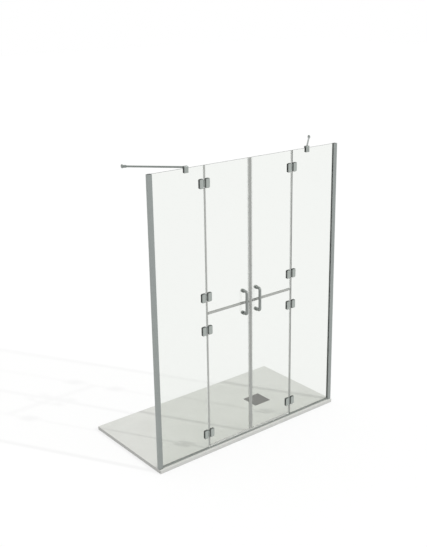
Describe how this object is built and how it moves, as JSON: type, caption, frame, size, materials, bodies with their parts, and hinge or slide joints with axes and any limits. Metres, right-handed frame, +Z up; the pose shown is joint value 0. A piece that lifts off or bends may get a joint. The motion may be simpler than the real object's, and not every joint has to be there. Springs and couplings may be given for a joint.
{
  "type": "shower enclosure",
  "caption": "Alcove shower enclosure of clear glass on a flat tray: fixed side panels carry hinged doors that are split at mid height, with bar handles, stays and a square drain cover.",
  "frame": {"origin": "centre of the tray's underside", "axes": "+X along the front to the right, +Y from the doors to the back of the tray, +Z up"},
  "size_m": [1.6, 0.822, 2.0451],
  "materials": {
    "clear_glass": "clear toughened glass with faintly green edges",
    "satin_steel": "satin nickel grey hinges, clamps and wall fittings",
    "handle_steel": "satin grey round bar",
    "aluminium": "satin grey anodised aluminium",
    "seal_plastic": "translucent warm grey seal",
    "tray_stone": "matte pale grey mineral cast",
    "cover_metal": "matte mid grey"
  },
  "bodies": {
    "frame": {"tray": "tray_stone", "waste_body": "satin_steel", "threshold": "aluminium", "wall_profile_left": "aluminium", "fixed_glass_left": "clear_glass", "bottom_profile_left": "aluminium", "stay_bar_left": "handle_steel", "stay_clamp_left": "satin_steel", "stay_flange_left": "satin_steel", "hinge_fixed_left_top": "satin_steel", "hinge_fixed_left_above_split": "satin_steel", "hinge_fixed_left_below_split": "satin_steel", "hinge_fixed_left_bottom": "satin_steel", "wall_profile_right": "aluminium", "fixed_glass_right": "clear_glass", "bottom_profile_right": "aluminium", "stay_bar_right": "handle_steel", "stay_clamp_right": "satin_steel", "stay_flange_right": "satin_steel", "hinge_fixed_right_top": "satin_steel", "hinge_fixed_right_above_split": "satin_steel", "hinge_fixed_right_below_split": "satin_steel", "hinge_fixed_right_bottom": "satin_steel"},
    "cover": {"drain_cover": "cover_metal"},
    "upper_left_leaf": {"glass_upper_left": "clear_glass", "hinge_seal_upper_left_bottom": "seal_plastic", "hinge_seal_upper_left_middle": "seal_plastic", "hinge_seal_upper_left_top": "seal_plastic", "magnet_seal_upper_left": "seal_plastic", "handle_upper_left": "handle_steel", "hinge_door_left_above_split": "satin_steel", "hinge_door_left_top": "satin_steel", "split_seal_left": "seal_plastic"},
    "lower_left_leaf": {"glass_lower_left": "clear_glass", "hinge_seal_lower_left_bottom": "seal_plastic", "hinge_seal_lower_left_middle": "seal_plastic", "hinge_seal_lower_left_top": "seal_plastic", "magnet_seal_lower_left": "seal_plastic", "handle_lower_left": "handle_steel", "hinge_door_left_bottom": "satin_steel", "hinge_door_left_below_split": "satin_steel", "bottom_seal_left": "seal_plastic"},
    "upper_right_leaf": {"glass_upper_right": "clear_glass", "hinge_seal_upper_right_bottom": "seal_plastic", "hinge_seal_upper_right_middle": "seal_plastic", "hinge_seal_upper_right_top": "seal_plastic", "magnet_seal_upper_right": "seal_plastic", "handle_upper_right": "handle_steel", "hinge_door_right_above_split": "satin_steel", "hinge_door_right_top": "satin_steel", "split_seal_right": "seal_plastic"},
    "lower_right_leaf": {"glass_lower_right": "clear_glass", "hinge_seal_lower_right_bottom": "seal_plastic", "hinge_seal_lower_right_middle": "seal_plastic", "hinge_seal_lower_right_top": "seal_plastic", "magnet_seal_lower_right": "seal_plastic", "handle_lower_right": "handle_steel", "hinge_door_right_bottom": "satin_steel", "hinge_door_right_below_split": "satin_steel", "bottom_seal_right": "seal_plastic"}
  },
  "joints": [
    {"name": "cover_lift", "type": "slide", "parent": "frame", "child": "cover", "axis": [0, 0, 1], "range_m": [0, 0.02]},
    {"name": "upper_left_hinge", "type": "hinge", "parent": "frame", "child": "upper_left_leaf", "pos_m": [-0.375, -0.376, 1.5295], "axis": [0, 0, -1], "range_deg": [0, 90]},
    {"name": "lower_left_hinge", "type": "hinge", "parent": "frame", "child": "lower_left_leaf", "pos_m": [-0.375, -0.376, 0.5225], "axis": [0, 0, -1], "range_deg": [0, 90]},
    {"name": "upper_right_hinge", "type": "hinge", "parent": "frame", "child": "upper_right_leaf", "pos_m": [0.375, -0.376, 1.5295], "axis": [0, 0, 1], "range_deg": [0, 90]},
    {"name": "lower_right_hinge", "type": "hinge", "parent": "frame", "child": "lower_right_leaf", "pos_m": [0.375, -0.376, 0.5225], "axis": [0, 0, 1], "range_deg": [0, 90]}
  ]
}
